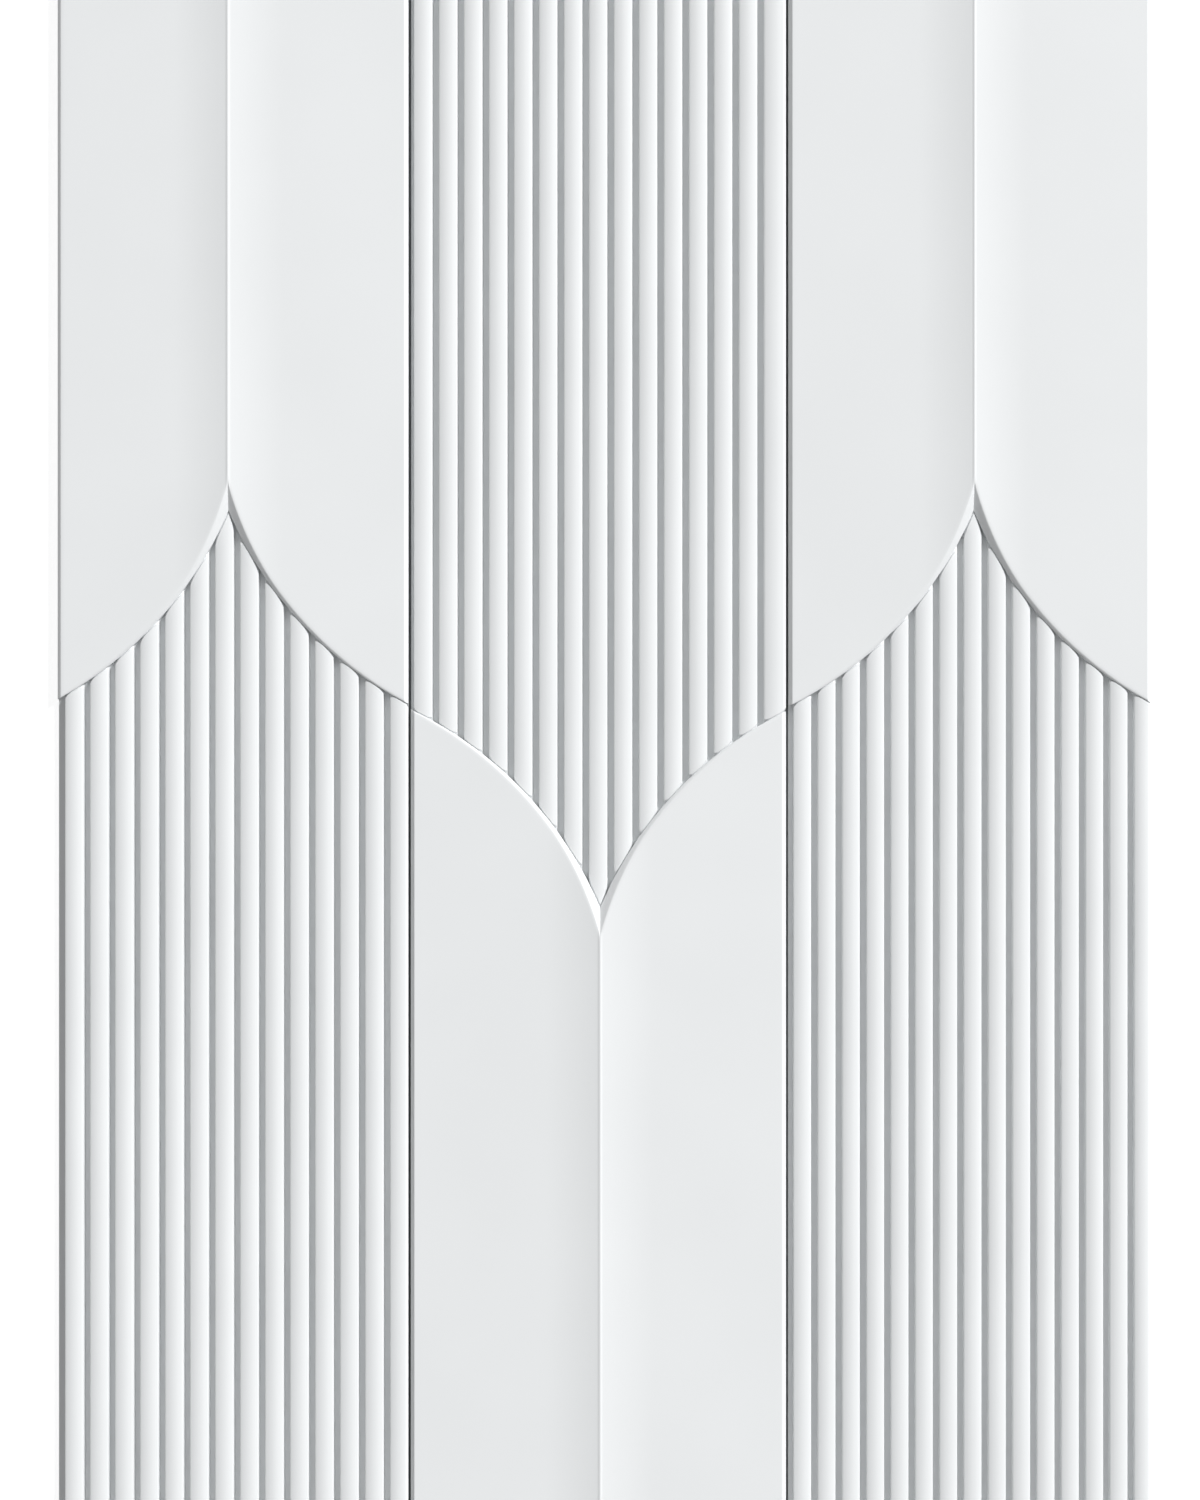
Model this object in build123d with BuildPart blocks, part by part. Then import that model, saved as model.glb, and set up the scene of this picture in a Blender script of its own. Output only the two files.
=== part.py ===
from build123d import *
import os
from math import radians, tan
from typing import NamedTuple

# A relief wall panel milled from one board. Three bays stand side by side. In each bay a pair of
# smooth petals, meeting in an upright keel, fills one end, and rounded ribs with narrow flutes
# between them fill the other. The middle bay is the other way up.
# X runs across the sheet, Y along it, and Z out of its face. The origin is the middle of the back.

# Sheet
panel_length = 2440.0

# Bays, from left to right: width, start of the first rib, pitch of the ribs, and place of the keel
left_width = 391.2
left_first_rib = 8.4
left_rib_pitch = 27.9
left_keel = 191.0
middle_width = 421.6
middle_first_rib = 6.4
middle_rib_pitch = 27.9
middle_keel = 214.3
right_width = 407.2
right_first_rib = 8.3
right_rib_pitch = 27.15
right_keel = 209.2

# Heights above the back
keel_height = 28.0
petal_shoulder_height = 22.0
petal_edge_height = 19.9
petal_knee_height = 19.3
rib_crest_height = 18.8
flute_floor = 7.6
parting_floor = 4.0

# Petals: the sweep up to the keel and its ridge, the chamfer on their long edges, their rounded ends
keel_sweep = 60.0
keel_ridge_width = 2.4
keel_ridge_rise = 0.9
edge_chamfer_width = 4.0
edge_chamfer_drop = 4.0
petal_foot_radius = 430.4
petal_centre_from_keel = 396.5
petal_centre_from_middle = 389.0
petal_wall_lean = 52.8

# Ribs, flutes and the grooves that part the bays
flute_width = 7.2
rib_side_height = 9.6
parting_width = 3.0

# How far a cut runs past the surface it leaves by
overshoot = 2.0


class Bay(NamedTuple):
    left: float
    right: float
    first_rib: float
    rib_pitch: float
    keel: float
    # +1 where the petals fill the upper end, -1 where they fill the lower one
    petals_up: int


panel_width = left_width + middle_width + right_width
left_edge = -panel_width / 2
middle_edge = left_edge + left_width
right_edge = middle_edge + middle_width
outer_edge = right_edge + right_width
partings = [middle_edge, right_edge]

bays = [
    Bay(left_edge, middle_edge, left_first_rib, left_rib_pitch, left_edge + left_keel, 1),
    Bay(middle_edge, right_edge, middle_first_rib, middle_rib_pitch, middle_edge + middle_keel, -1),
    Bay(right_edge, outer_edge, right_first_rib, right_rib_pitch, right_edge + right_keel, 1),
]

petal_rim_height = petal_edge_height - edge_chamfer_drop


def petal_radius_at(height):
    """Radius of a petal's rounded end above the knee of its wall, where the wall leans back."""
    return petal_foot_radius - (height - petal_knee_height) * tan(radians(petal_wall_lean))


def rib_section(width):
    """One rib: upright sides and a segmental top, on the floor of the flutes."""
    shoulder = flute_floor + rib_side_height
    foot = flute_floor - overshoot
    with BuildSketch(Plane.XZ) as section:
        with BuildLine():
            Polyline((-width / 2, shoulder), (-width / 2, foot), (width / 2, foot), (width / 2, shoulder))
            ThreePointArc((-width / 2, shoulder), (0, rib_crest_height), (width / 2, shoulder))
        make_face()
    return section.sketch_local


def reeded_field(bay):
    """What is milled out of a bay's reeded end: all but the ribs, up to the walls of the petals."""
    # As many ribs as fit stand on the pitch, and the last one runs on to the edge of the bay
    ribs_across = round((bay.right - bay.left - bay.first_rib + flute_width) / bay.rib_pitch)
    starts = [bay.left + bay.first_rib + i * bay.rib_pitch for i in range(ribs_across)]
    ends = [start + bay.rib_pitch - flute_width for start in starts[:-1]] + [bay.right]
    ribs = [((start + end) / 2, rib_section(end - start)) for start, end in zip(starts, ends)]

    field_width = bay.right - bay.left + parting_width
    field_length = panel_length / 2 + petal_centre_from_middle + overshoot
    field_centre = bay.petals_up * (petal_centre_from_middle - field_length / 2)
    top = keel_height + overshoot
    bottom = flute_floor - overshoot

    with BuildPart() as field:
        with BuildSketch(Plane.XY.offset(flute_floor)):
            with Locations((bay.left + field_width / 2, field_centre)):
                Rectangle(field_width, field_length)
        extrude(amount=top - flute_floor)
        for side in (-1, 1):
            petal_x = bay.keel + side * petal_centre_from_keel
            petal_y = bay.petals_up * petal_centre_from_middle
            with BuildSketch(Plane.XY.offset(bottom)):
                with Locations((petal_x, petal_y)):
                    Circle(petal_foot_radius)
            extrude(amount=petal_knee_height - bottom, mode=Mode.SUBTRACT)
            with Locations((petal_x, petal_y, (petal_knee_height + top) / 2)):
                Cone(petal_foot_radius, petal_radius_at(top), top - petal_knee_height, mode=Mode.SUBTRACT)
        with BuildSketch(Plane.XZ):
            for middle, section in ribs:
                with Locations((middle, 0)):
                    add(section)
        extrude(amount=panel_length / 2 + overshoot, both=True, mode=Mode.SUBTRACT)
    return field.part


fields = [reeded_field(bay) for bay in bays]

with BuildPart() as fluted_panel:
    # The petals' section runs the whole length: gentle slopes, sweeps up to the keels, chamfered edges
    with BuildSketch(Plane.XZ):
        with BuildLine():
            start = (left_edge, petal_rim_height)
            for bay in bays:
                first = bay.left + (parting_width if bay.left in partings else 0)
                left_rim = (first, petal_rim_height)
                left_lip = (first + edge_chamfer_width, petal_edge_height)
                left_shoulder = (bay.keel - keel_sweep, petal_shoulder_height)
                left_ridge = (bay.keel - keel_ridge_width, keel_height - keel_ridge_rise)
                keel = (bay.keel, keel_height)
                right_ridge = (bay.keel + keel_ridge_width, keel_height - keel_ridge_rise)
                right_shoulder = (bay.keel + keel_sweep, petal_shoulder_height)
                right_lip = (bay.right - edge_chamfer_width, petal_edge_height)
                right_rim = (bay.right, petal_rim_height)
                if bay.left in partings:
                    Line(start, left_rim)
                Line(left_rim, left_lip)
                left_slope = Line(left_lip, left_shoulder)
                TangentArc(left_shoulder, left_ridge, tangent=left_slope % 1)
                Polyline(left_ridge, keel, right_ridge)
                right_slope = Line(right_lip, right_shoulder)
                TangentArc(right_shoulder, right_ridge, tangent=right_slope % 1)
                Line(right_lip, right_rim)
                start = right_rim
            Polyline(start, (outer_edge, 0), (left_edge, 0), (left_edge, petal_rim_height))
        make_face()
    extrude(amount=panel_length / 2, both=True)

    # The reeded ends
    for field in fields:
        add(field, mode=Mode.SUBTRACT)

    # The narrow deep grooves between the bays
    groove_depth = keel_height - parting_floor
    with BuildSketch(Plane.XZ):
        with Locations(*[(x + parting_width / 2, parting_floor + groove_depth / 2) for x in partings]):
            Rectangle(parting_width, groove_depth)
    extrude(amount=panel_length / 2 + overshoot, both=True, mode=Mode.SUBTRACT)

fluted_panel.part.label = "fluted_panel"
os.makedirs("parts", exist_ok=True)
export_step(fluted_panel.part, "parts/fluted_panel.step")
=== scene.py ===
# %% [markdown]
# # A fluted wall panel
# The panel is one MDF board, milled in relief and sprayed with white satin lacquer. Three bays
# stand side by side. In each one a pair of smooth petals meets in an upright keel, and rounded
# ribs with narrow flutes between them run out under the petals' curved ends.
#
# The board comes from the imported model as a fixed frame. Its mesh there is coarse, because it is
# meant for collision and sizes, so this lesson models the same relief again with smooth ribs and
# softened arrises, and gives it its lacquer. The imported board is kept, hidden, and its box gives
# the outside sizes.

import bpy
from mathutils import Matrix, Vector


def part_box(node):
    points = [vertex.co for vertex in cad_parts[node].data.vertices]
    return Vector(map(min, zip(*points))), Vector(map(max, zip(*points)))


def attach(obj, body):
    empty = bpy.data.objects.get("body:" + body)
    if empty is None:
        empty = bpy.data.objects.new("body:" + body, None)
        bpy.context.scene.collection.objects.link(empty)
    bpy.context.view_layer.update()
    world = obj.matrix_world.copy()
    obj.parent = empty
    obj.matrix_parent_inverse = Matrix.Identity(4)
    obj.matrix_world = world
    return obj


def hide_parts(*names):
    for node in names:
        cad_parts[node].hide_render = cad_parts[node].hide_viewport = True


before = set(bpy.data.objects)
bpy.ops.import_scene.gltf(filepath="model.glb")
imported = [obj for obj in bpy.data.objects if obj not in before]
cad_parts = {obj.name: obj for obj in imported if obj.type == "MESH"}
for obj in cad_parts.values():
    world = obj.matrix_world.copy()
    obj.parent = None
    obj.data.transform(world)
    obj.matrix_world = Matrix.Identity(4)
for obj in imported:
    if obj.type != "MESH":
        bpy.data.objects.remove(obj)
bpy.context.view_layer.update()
board_low, board_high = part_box("fluted_panel")
print("board from", tuple(board_low), "to", tuple(board_high), "metres")

# %% [markdown]
# ## Sizes
# A joiner reads a relief as heights above the back of the board, and as distances across it. All
# of them are in millimetres here and become metres only when a vertex is placed. The outside
# sizes are read from the frame; the rest repeat the drawing of the panel.

# %% The sizes of the relief
from math import asin, atan, cos, hypot, pi, radians, sin, sqrt, tan
from types import SimpleNamespace

import bmesh
import bpy
import numpy as np
from mathutils import Vector

MM = 0.001

half_length = board_high.y / MM
left_edge = board_low.x / MM
right_edge = board_high.x / MM
keel_height = board_high.z / MM

petal_shoulder_height = 22.0
petal_edge_height = 19.9
petal_rim_height = 15.9
rib_crest_height = 18.8
wall_knee_height = 19.3
rib_shoulder_height = 17.2
flute_floor = 7.6
parting_floor = 4.0

keel_sweep = 60.0
keel_ridge_width = 2.4
keel_ridge_rise = 0.9
chamfer_width = 4.0
wall_foot_radius = 430.4
petal_centre_from_keel = 396.5
petal_centre_from_middle = 389.0
wall_lean = radians(52.8)

flute_width = 7.2
parting_width = 3.0

bays = []
bay_left = left_edge
for width, first_rib, rib_pitch, keel, petals_up in (
    (391.2, 8.4, 27.9, 191.0, True),
    (421.6, 6.4, 27.9, 214.3, False),
    (407.2, 8.3, 27.15, 209.2, True),
):
    bays.append(SimpleNamespace(
        left=bay_left,
        right=bay_left + width,
        first_rib=bay_left + first_rib,
        rib_pitch=rib_pitch,
        ribs=round((width - first_rib + flute_width) / rib_pitch),
        keel=bay_left + keel,
        petals_up=petals_up,
    ))
    bay_left += width
print(len(bays), "bays, the last ends at", bay_left, "of", right_edge)

# %% [markdown]
# ## Arrises that hold paint
# Lacquer runs thin on a knife edge, so every outside corner of a sprayed board is eased with a
# sanding block first. A bevel modifier could do it, but the ribs and the petals' curved ends make
# very short edges where they meet, and a bevel is held back by the shortest one. It is simpler to
# ease the corner in the section itself: each marked corner becomes three points on a small curve.

# %% Ease the corners of a section
sanded_arris = 0.5
sanded_keel = 0.8
router_draft = 0.15


def eased(points):
    """A section line of (x, z, ease) points with each marked corner turned into a small curve."""
    line = [Vector(points[0][:2])]
    for before, (x, z, ease), after in zip(points, points[1:], points[2:]):
        corner = Vector((x, z))
        if not ease:
            line.append(corner)
            continue
        start = corner + (Vector(before[:2]) - corner).normalized() * ease
        end = corner + (Vector(after[:2]) - corner).normalized() * ease
        line += [start, (start + 2 * corner + end) / 4, end]
    line.append(Vector(points[-1][:2]))
    return np.array(line)


print("arrises eased by", sanded_arris, "mm and keels by", sanded_keel, "mm")

# %% [markdown]
# ## The petals' section
# Cut across, a pair of petals looks like a tent with hollow sides: a gentle slope from each long
# edge, then a sweep that turns upwards, and a narrow straight ridge that ends in the keel. The
# sweep is an arc that leaves the slope without a kink. A narrow deep groove parts each bay from the
# next, and the petals' long edges are chamfered, there and along the edges of the board.

# %% Draw the petals' section
sweep_steps = 16
# The lower part of each groove between the bays carries painted shade. Its outline gets a point on each
# side where that painted shade ends.
gap_shade_below_flutes = 0.3
gap_shade_top = flute_floor - gap_shade_below_flutes
gap_shade_draft = router_draft / 4


def sweep(lip_distance):
    """(distance from the keel, height) along the sweep, from its shoulder up to the keel's ridge."""
    foot_angle = atan((petal_shoulder_height - petal_edge_height) / (lip_distance - keel_sweep))
    run = keel_sweep - keel_ridge_width
    rise = keel_height - keel_ridge_rise - petal_shoulder_height
    chord_angle = atan(rise / run)
    radius = hypot(rise, run) / 2 / sin(chord_angle - foot_angle)
    top_angle = 2 * chord_angle - foot_angle
    for angle in np.linspace(foot_angle, top_angle, sweep_steps + 1):
        along = radius * (sin(angle) - sin(foot_angle))
        yield keel_sweep - along, petal_shoulder_height + radius * (cos(foot_angle) - cos(angle))


def groove_points(bay):
    """The floor of the groove on a bay's left, if it has a neighbour there."""
    if bay is bays[0]:
        return []
    left_side = bay.left + router_draft
    right_side = bay.left + parting_width - router_draft
    return [
        (left_side - gap_shade_draft, gap_shade_top, 0),
        (left_side, parting_floor, 0),
        (right_side, parting_floor, 0),
        (right_side + gap_shade_draft, gap_shade_top, 0),
    ]


def petal_start(bay):
    """Where a bay's petals begin, beyond the groove on their left."""
    return bay.left if bay is bays[0] else bay.left + parting_width


def petal_points(bay):
    """A bay's petals from the groove on their left to the chamfer on their right."""
    left_lip = petal_start(bay) + chamfer_width
    right_lip = bay.right - chamfer_width
    points = groove_points(bay)
    points += [(petal_start(bay), petal_rim_height, 0), (left_lip, petal_edge_height, sanded_arris)]
    left_sweep = list(sweep(bay.keel - left_lip))
    points += [(bay.keel - d, z, 0) for d, z in left_sweep]
    points.append((bay.keel, keel_height, sanded_keel))
    right_sweep = list(sweep(right_lip - bay.keel))
    points += [(bay.keel + d, z, 0) for d, z in reversed(right_sweep)]
    points += [(right_lip, petal_edge_height, sanded_arris), (bay.right, petal_rim_height, 0)]
    return points


petal_line = eased([point for bay in bays for point in petal_points(bay)])
print("petals' section:", len(petal_line), "points, up to", petal_line[:, 1].max(), "mm")

# %% [markdown]
# ## The ribs' section
# A reeding cutter leaves ribs with a segmental top and upright sides, and deep flutes with a flat
# floor between them. The ribs stand on a set pitch in each bay: a flute comes first, as many ribs as
# fit follow it, and the last one runs on to the edge of the bay, where the petals' chamfer runs along
# it too. The sides get a trace of draft, so that the section has one height at every place across
# the board and can be read as a plain graph.

# %% Draw the ribs' section
rib_steps = 12


def rib_points(start, end):
    """One rib, from the foot of its left side to the top of its right side."""
    half_chord = (end - start) / 2 - router_draft
    crown = rib_crest_height - rib_shoulder_height
    radius = (half_chord ** 2 + crown ** 2) / 2 / crown
    half_turn = asin(half_chord / radius)
    middle = (start + end) / 2
    points = [(start, flute_floor, 0)]
    for step, angle in enumerate(np.linspace(-half_turn, half_turn, rib_steps + 1)):
        ease = sanded_arris if step in (0, rib_steps) else 0
        height = rib_crest_height - radius * (1 - cos(angle))
        points.append((middle + radius * sin(angle), height, ease))
    return points


def reed_points(bay):
    """A bay's ribs and flutes, with the groove on their left."""
    points = groove_points(bay) + [(petal_start(bay), flute_floor, 0)]
    for number in range(bay.ribs - 1):
        start = bay.first_rib + number * bay.rib_pitch
        end = start + bay.rib_pitch - flute_width
        points += rib_points(start, end) + [(end, flute_floor, 0)]
    last_start = bay.first_rib + (bay.ribs - 1) * bay.rib_pitch
    points += rib_points(last_start, bay.right)
    points.append((bay.right, rib_shoulder_height - sanded_arris, 0))
    return points


reed_line = eased([point for bay in bays for point in reed_points(bay)])
print("ribs' section:", len(reed_line), "points, up to", reed_line[:, 1].max(), "mm")

# %% [markdown]
# ## The curved walls
# Each petal ends in a curved wall round an axis that stands on the board. Beside the ribs and flutes
# the wall is upright, up to a knee just above the ribs, and from there it leans back as a cone.
# Walking along the board at one place across it, one stays on the petal, goes over its eased rim,
# down the cone, past the knee, and then along a rib or a flute. So every place across the board needs
# only fifteen heights, and the radius of the wall says how far along each of them is.
#
# The end of each rib is eased where it runs into the wall, a little on its crest and more at its two
# corners, so that the ribs end in a row of soft round noses. The easing grows with the square of the
# rib's own fall from its crest. Two extra heights, just before the rim and just beyond the foot, keep
# the shading of the long flat stretches from being bent.

# %% Walk along the board at one place
rim_ease = 0.8
rim_ease_share = 1 / 3
rib_end_run = 1.4
rib_end_drop = 1.8
rib_corner_run = 2.2
rib_corner_drop = 3.5
shading_margin = 3.0
end_ease = 0.6

# Which of the steps below stands at the foot of the wall
foot_row = 9


def wall_radius(height):
    """Radius of a petal's curved wall: the same up to the knee, then less with every millimetre."""
    return wall_foot_radius - max(height - wall_knee_height, 0) * tan(wall_lean)


def walk(x, petal, rib, bay):
    """(y, z) from the upper end of the board, over its face, to the lower end."""
    offset = petal_centre_from_keel - abs(x - bay.keel)

    def wall(height):
        return petal_centre_from_middle - sqrt(wall_radius(height) ** 2 - offset ** 2)

    fall = petal - rib
    ease = min(rim_ease, fall * rim_ease_share)
    rim = wall(petal)
    slant = wall_radius(petal) / (petal_centre_from_middle - rim)
    before = rim + ease * slant
    below = wall(petal - ease)
    knee = min(max(wall_knee_height, rib), petal - ease)
    half_way = (petal - ease + knee) / 2
    to_corner = (rib_crest_height - rib) / (rib_crest_height - rib_shoulder_height)
    rounding = min(max(to_corner, 0), 1) ** 2
    rib_foot = max(rib - rib_end_drop - rib_corner_drop * rounding, min(rib, flute_floor))
    rib_end = wall(rib) - (rib_end_run + rib_corner_run * rounding) * slant
    steps = [
        (half_length, 0),
        (half_length, petal - end_ease),
        (half_length - end_ease, petal),
        (before + shading_margin * slant, petal),
        (before, petal),
        ((before + 2 * rim + below) / 4, petal - ease / 4),
        (below, petal - ease),
        (wall(half_way), half_way),
        (wall(knee), knee),
        (wall(rib), rib_foot),
        (rib_end, rib),
        (rib_end - shading_margin, rib),
        (end_ease - half_length, rib),
        (-half_length, rib - end_ease),
        (-half_length, 0),
    ]
    if not bay.petals_up:
        steps = [(-y, z) for y, z in reversed(steps)]
    return steps


stations = np.unique(np.concatenate([petal_line[:, 0], reed_line[:, 0]]).round(3))
petal_heights = np.interp(stations, petal_line[:, 0], petal_line[:, 1])
reed_heights = np.minimum(np.interp(stations, reed_line[:, 0], reed_line[:, 1]), petal_heights)


def bay_at(x):
    """The bay that a place across the board belongs to."""
    return next(bay for bay in bays if x <= bay.right or bay is bays[-1])


walks = [walk(x, p, r, bay_at(x)) for x, p, r in zip(stations, petal_heights, reed_heights)]
print(len(stations), "places across the board,", len(walks[0]), "heights at each")

# %% [markdown]
# ## The board
# A grid is wrapped round the board as paper round a parcel. Its columns are the places across, its
# rows are the steps of each walk, and one more row goes back along the underside to the start. Then
# the seam is welded, the two long edges are filled, and the faces are turned outwards. Edges that
# fold by more than a gentle angle are marked sharp, and so is the foot of every wall.

# %% Model the board
weld_distance = 0.002 * MM
sharp_angle = radians(34)
litres_per_cubic_metre = 1000


def model_board():
    """The closed mesh of the board, with smooth faces and sharp folds."""
    shape = bmesh.new()
    columns = len(stations) - 1
    rows = len(walks[0])
    bmesh.ops.create_grid(shape, x_segments=columns, y_segments=rows, size=1)
    feet = set()
    for vert in shape.verts:
        column = round((vert.co.x + 1) / 2 * columns)
        row = round((1 - vert.co.y) / 2 * rows)
        y, z = walks[column][row % rows]
        vert.co = Vector((stations[column], y, z)) * MM
        if row == (foot_row if bay_at(stations[column]).petals_up else rows - 1 - foot_row):
            feet.add(vert)
    for edge in shape.edges:
        edge.smooth = not feet.issuperset(edge.verts)
    bmesh.ops.remove_doubles(shape, verts=shape.verts, dist=weld_distance)
    open_edges = [edge for edge in shape.edges if edge.is_boundary]
    bmesh.ops.holes_fill(shape, edges=open_edges, sides=0)
    bmesh.ops.recalc_face_normals(shape, faces=shape.faces)
    for edge in shape.edges:
        if edge.calc_face_angle(0) > sharp_angle:
            edge.smooth = False
    for face in shape.faces:
        face.smooth = True
    return shape


board_shape = model_board()
board_mesh = bpy.data.meshes.new("lacquered_board")
board_shape.to_mesh(board_mesh)
print(len(board_shape.faces), "faces,", sum(not e.is_manifold for e in board_shape.edges), "open edges")
print("volume", board_shape.calc_volume() * litres_per_cubic_metre, "litres")
board_shape.free()

board = bpy.data.objects.new("lacquered_board", board_mesh)
bpy.context.scene.collection.objects.link(board)
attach(board, "root")
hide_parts("fluted_panel")

# %% [markdown]
# ## Helpers for materials
# Paint makers give colours as screen values, and the shader wants linear ones, so one function turns
# a hex colour into the other. A second one adds a node with its settings and links in one line. No
# coat is of one even tone, so a third one blends two close colours by a pattern.

# %% Colours and nodes


def linear(hex_colour):
    """A linear RGBA colour from an sRGB hex value."""
    channels = [int(hex_colour[i:i + 2], 16) / 255 for i in (1, 3, 5)]
    return [c / 12.92 if c <= 0.04045 else ((c + 0.055) / 1.055) ** 2.4 for c in channels] + [1]


def add_node(tree, kind, inputs=None, **settings):
    """Adds a node. An input is a value, or another node's output socket to link."""
    node = tree.nodes.new(kind)
    for name, value in settings.items():
        setattr(node, name, value)
    for name, value in (inputs or {}).items():
        if isinstance(value, bpy.types.NodeSocket):
            tree.links.new(value, node.inputs[name])
        else:
            node.inputs[name].default_value = value
    return node


def new_material(name):
    """A new material and its empty node tree."""
    material = bpy.data.materials.new(name)
    material.use_nodes = True
    material.node_tree.nodes.clear()
    return material, material.node_tree


def two_tone(tree, amount, dark, light, span=(0, 1)):
    """A colour that goes from one hex value to another while an amount crosses a span."""
    ramp = add_node(tree, "ShaderNodeValToRGB", {"Fac": amount})
    for stop, position, colour in zip(ramp.color_ramp.elements, span, (dark, light)):
        stop.position = position
        stop.color = linear(colour)
    return ramp.outputs["Color"]


print("a screen grey of #808080 is", round(linear("#808080")[0], 3), "in linear light")

# %% [markdown]
# ## Satin lacquer
# The face is sprayed with a white two-pack lacquer of about a quarter gloss. It flows almost flat,
# with a trace of orange peel, and its tone drifts by a hair where the coat is thicker. Real orange
# peel is about two millimetres across; here it is drawn at five, or it would be lost between pixels.

# %% Make the satin lacquer
peel_size = 5 * MM
peel_depth = 0.012 * MM
drift_size = 180 * MM
drift_span = (0.35, 0.65)
smoothest = 0.57
roughest = 0.63
paint_ior = 1.5


def satin_lacquer():
    material, tree = new_material("satin_white_lacquer")
    place = add_node(tree, "ShaderNodeTexCoord").outputs["Object"]
    drift = add_node(tree, "ShaderNodeTexNoise", {"Vector": place, "Scale": 1 / drift_size, "Detail": 2})
    gloss = add_node(tree, "ShaderNodeMapRange", {
        "Value": drift.outputs["Fac"], "To Min": smoothest, "To Max": roughest})
    peel = add_node(tree, "ShaderNodeTexNoise", {"Vector": place, "Scale": 1 / peel_size, "Detail": 1})
    bump = add_node(tree, "ShaderNodeBump", {
        "Height": peel.outputs["Fac"], "Distance": peel_depth, "Strength": 1.0})
    lacquer = add_node(tree, "ShaderNodeBsdfPrincipled", {
        "Base Color": two_tone(tree, drift.outputs["Fac"], "#E4E6E7", "#E6E8E9", drift_span),
        "Roughness": gloss.outputs["Result"],
        "IOR": paint_ior,
        "Normal": bump.outputs["Normal"],
    })
    add_node(tree, "ShaderNodeOutputMaterial", {"Surface": lacquer.outputs["BSDF"]})
    return material


board_mesh.materials.append(satin_lacquer())
print("lacquer with peel", peel_size / MM, "mm across")

# %% [markdown]
# ## Sealed fibreboard
# The back is never seen once the panel is on its wall, so it gets a coat of clear sealer and no
# lacquer: the brown, finely felted fibres of MDF show there. A second material on the same mesh is
# enough, given to the faces that look straight down.

# %% Make the sealed back
fibre_size = 1.5 * MM
cloud_size = 60 * MM
fibre_span = (0.12, 0.4)
sealer_roughness = 0.75
downward = -0.99
back_layer = 1 * MM


def sealed_fibreboard():
    material, tree = new_material("sealed_fibreboard")
    place = add_node(tree, "ShaderNodeTexCoord").outputs["Object"]
    fibres = add_node(tree, "ShaderNodeTexNoise", {"Vector": place, "Scale": 1 / fibre_size, "Detail": 3})
    clouds = add_node(tree, "ShaderNodeTexNoise", {"Vector": place, "Scale": 1 / cloud_size, "Detail": 2})
    blend = add_node(tree, "ShaderNodeMath", {
        0: fibres.outputs["Fac"], 1: clouds.outputs["Fac"]}, operation="MULTIPLY")
    sealer = add_node(tree, "ShaderNodeBsdfPrincipled", {
        "Base Color": two_tone(tree, blend.outputs["Value"], "#9C7A50", "#BC9A6C", fibre_span),
        "Roughness": sealer_roughness,
        "IOR": paint_ior,
    })
    add_node(tree, "ShaderNodeOutputMaterial", {"Surface": sealer.outputs["BSDF"]})
    return material


back_slot = len(board_mesh.materials)
board_mesh.materials.append(sealed_fibreboard())
sealed = [f for f in board_mesh.polygons if f.normal.z < downward and f.center.z < back_layer]
for face in sealed:
    face.material_index = back_slot
print(len(sealed), "faces on the back")

# %% [markdown]
# ## Painted shade in the gaps
# The two narrow grooves between the bays get a dull mid grey in their lower part. It is painted shade,
# which darkens them beyond what little light reaches down there, so they read as crisp dark lines.

# %% Paint shade into the gaps between the bays
gap_shade_mottle_size = 12 * MM
gap_shade_roughness = 0.8


# A dull grey that stands in for the shade deep in the grooves between the bays.
def painted_gap_shade():
    material, tree = new_material("painted_gap_shade")
    place = add_node(tree, "ShaderNodeTexCoord").outputs["Object"]
    gap_shade_mottle = add_node(tree, "ShaderNodeTexNoise", {"Vector": place, "Scale": 1 / gap_shade_mottle_size, "Detail": 2})
    paint = add_node(tree, "ShaderNodeBsdfPrincipled", {
        "Base Color": two_tone(tree, gap_shade_mottle.outputs["Fac"], "#868A8C", "#969A9C"),
        "Roughness": gap_shade_roughness,
        "IOR": paint_ior,
    })
    add_node(tree, "ShaderNodeOutputMaterial", {"Surface": paint.outputs["BSDF"]})
    return material


gap_shade_slot = len(board_mesh.materials)
board_mesh.materials.append(painted_gap_shade())
# Faces low in the grooves between the bays get the painted shade.
painted = 0
for face in board_mesh.polygons:
    across = face.center.x / MM
    height = face.center.z / MM
    in_gap = any(bay.left < across < bay.left + parting_width for bay in bays[1:])
    if in_gap and 0 < height < gap_shade_top and face.material_index != back_slot:
        face.material_index = gap_shade_slot
        painted += 1
print(painted, "faces in the shadow gaps")

# %% [markdown]
# ## Floor
# The board lies on a white studio floor, which keeps its shadow. Where the floor is looked at it also
# glows, so that it stays plain white up to the board, and that glow lights nothing else. It lies a
# hair below the back of the board, because two faces in one plane fight for the same pixels.

# %% Lay the floor
floor_size = 40.0
floor_gap = 0.5 * MM
floor_glow = 0.7


def background_rays(tree):
    """One where the background is looked at, straight on or by reflection or through glass."""
    rays = add_node(tree, "ShaderNodeLightPath")
    mirrored = add_node(tree, "ShaderNodeMath", {
        0: rays.outputs["Is Camera Ray"], 1: rays.outputs["Is Glossy Ray"]}, operation="MAXIMUM")
    seen = add_node(tree, "ShaderNodeMath", {
        0: mirrored.outputs["Value"], 1: rays.outputs["Is Transmission Ray"]}, operation="MAXIMUM")
    return seen.outputs["Value"]


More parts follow.
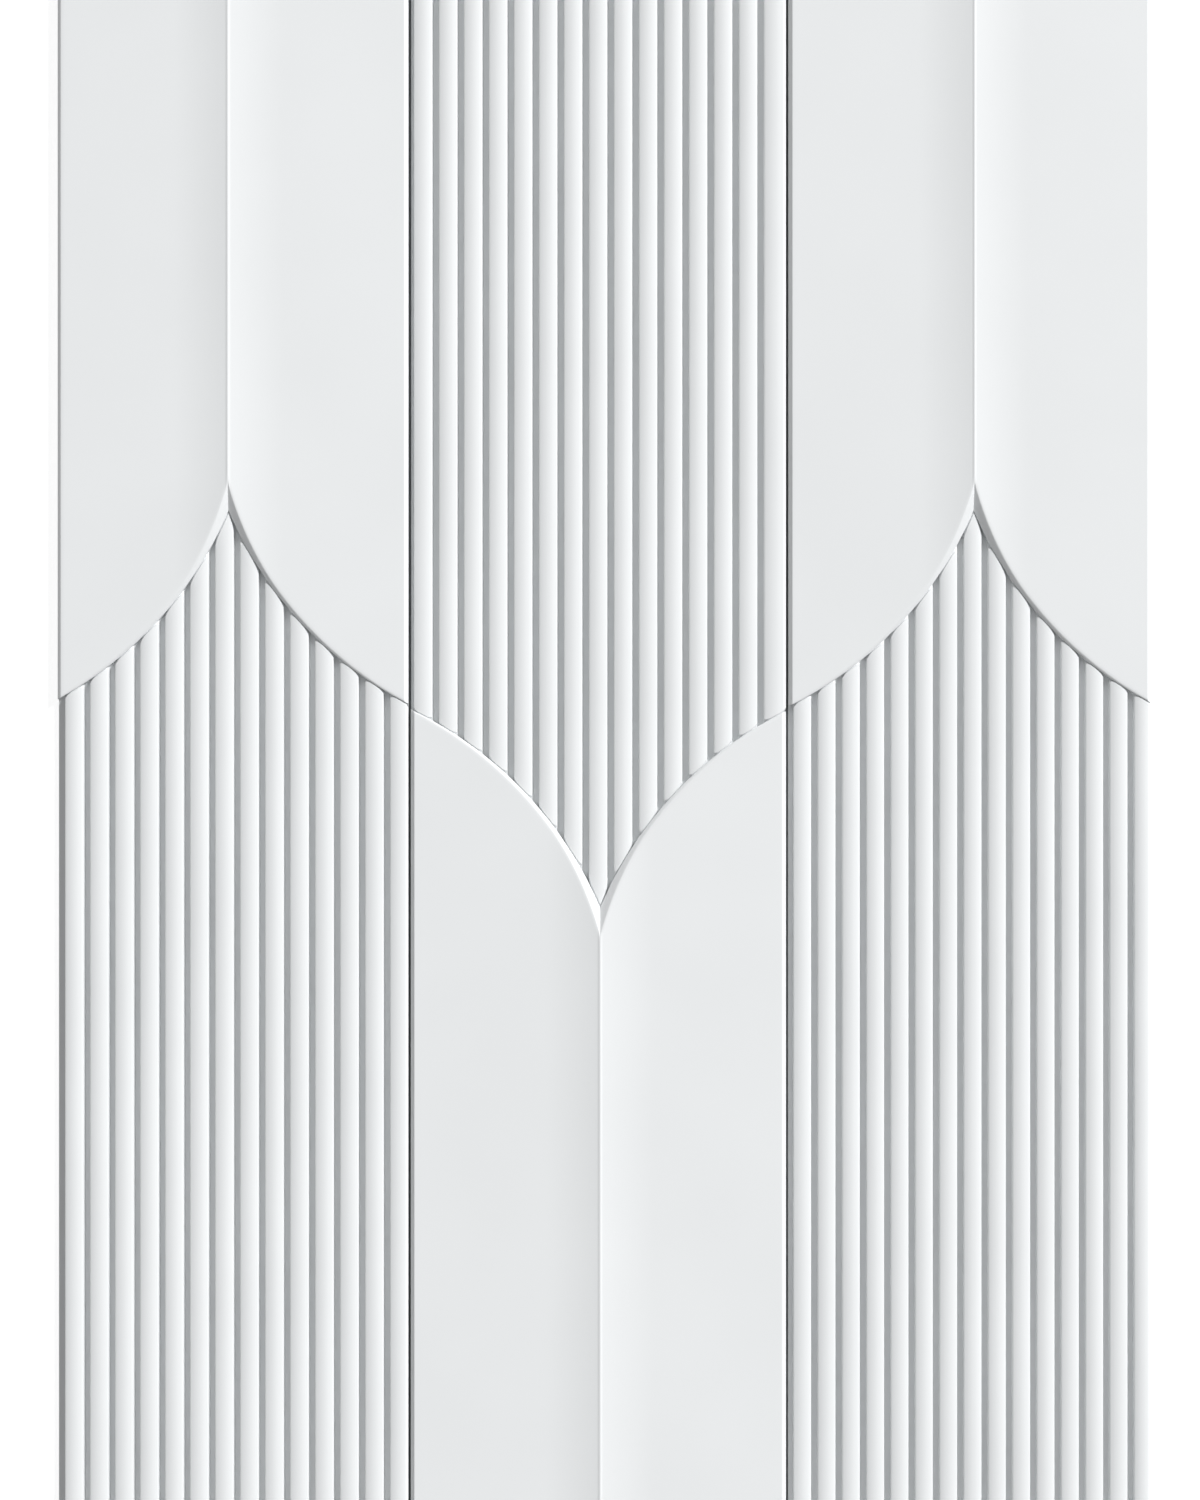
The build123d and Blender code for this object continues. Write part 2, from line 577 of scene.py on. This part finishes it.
def studio_floor():
    material = bpy.data.materials.new("studio_floor")
    material.use_nodes = True
    tree = material.node_tree
    tree.nodes.clear()
    paint = add_node(tree, "ShaderNodeBsdfDiffuse", {"Color": linear("#F2F2F2")})
    glow = add_node(tree, "ShaderNodeEmission", {"Strength": floor_glow})
    dark = add_node(tree, "ShaderNodeEmission", {"Strength": 0})
    shown = add_node(tree, "ShaderNodeMixShader", {
        "Fac": background_rays(tree), 1: dark.outputs[0], 2: glow.outputs[0]})
    both = add_node(tree, "ShaderNodeAddShader", {0: paint.outputs[0], 1: shown.outputs[0]})
    add_node(tree, "ShaderNodeOutputMaterial", {"Surface": both.outputs[0]})
    return material


floor_shape = bmesh.new()
bmesh.ops.create_grid(floor_shape, x_segments=1, y_segments=1, size=floor_size / 2)
bmesh.ops.translate(floor_shape, verts=floor_shape.verts, vec=(0, 0, -floor_gap))
floor_mesh = bpy.data.meshes.new("floor")
floor_shape.to_mesh(floor_mesh)
floor_shape.free()
floor_mesh.materials.append(studio_floor())
floor = bpy.data.objects.new("floor", floor_mesh)
bpy.context.scene.collection.objects.link(floor)
print("floor", floor_size, "metres square,", floor_gap / MM, "mm below the board")

# %% [markdown]
# ## Light
# A low even sky fills the flutes and the walls that look away from the lamp. One soft lamp on the
# right, turned towards the top and not very high, draws the ribs, the keels and the curved walls. Its
# strength is found from the sky's, so that both together light a level surface at one, and a colour
# renders about as it is written. Where the sky itself is looked at, it is plain white.

# %% Set the light
sky_level = 0.28
shown_sky_level = 1.0
lamp_height = radians(37)
lamp_turn = radians(40)
lamp_softness = radians(12)

world = bpy.data.worlds.new("studio")
bpy.context.scene.world = world
world.use_nodes = True
sky = world.node_tree
sky.nodes.clear()
even = add_node(sky, "ShaderNodeBackground", {"Color": linear("#FFFFFF"), "Strength": sky_level})
white = add_node(sky, "ShaderNodeBackground", {
    "Color": linear("#FFFFFF"), "Strength": shown_sky_level})
shown_sky = add_node(sky, "ShaderNodeMixShader", {
    "Fac": background_rays(sky), 1: even.outputs[0], 2: white.outputs[0]})
add_node(sky, "ShaderNodeOutputWorld", {"Surface": shown_sky.outputs[0]})

lamp_data = bpy.data.lights.new("key_lamp", "SUN")
lamp_data.angle = lamp_softness
lamp_data.energy = pi * (1 - sky_level) / sin(lamp_height)
lamp = bpy.data.objects.new("key_lamp", lamp_data)
towards_lamp = Vector((
    cos(lamp_height) * cos(lamp_turn), cos(lamp_height) * sin(lamp_turn), sin(lamp_height)))
lamp.rotation_mode = "QUATERNION"
lamp.rotation_quaternion = towards_lamp.to_track_quat("Z", "Y")
bpy.context.scene.collection.objects.link(lamp)
bpy.context.scene.view_settings.view_transform = "Standard"
print("sky", sky_level, "lamp", lamp_data.energy)

# %% [markdown]
# ## Camera
# The camera looks straight down on the board, from so far up that upright sides hardly show. The lens
# follows from the size of a pixel on the crests of the ribs, because a length there is easy to measure.

# %% Set the camera
camera_height = 3.6
sensor_width = 36.0
picture_size = (1200, 1500)
mm_per_pixel = 1.1152
picture_centre = Vector((-4.7, -45.7)) * MM

camera_data = bpy.data.cameras.new("camera")
camera_data.sensor_width = sensor_width
picture_height = picture_size[1] * mm_per_pixel * MM
camera_data.lens = sensor_width * (camera_height - rib_crest_height * MM) / picture_height
camera = bpy.data.objects.new("camera", camera_data)
camera.location = (picture_centre.x, picture_centre.y, camera_height)
bpy.context.scene.collection.objects.link(camera)
bpy.context.scene.camera = camera
print("lens", camera_data.lens)
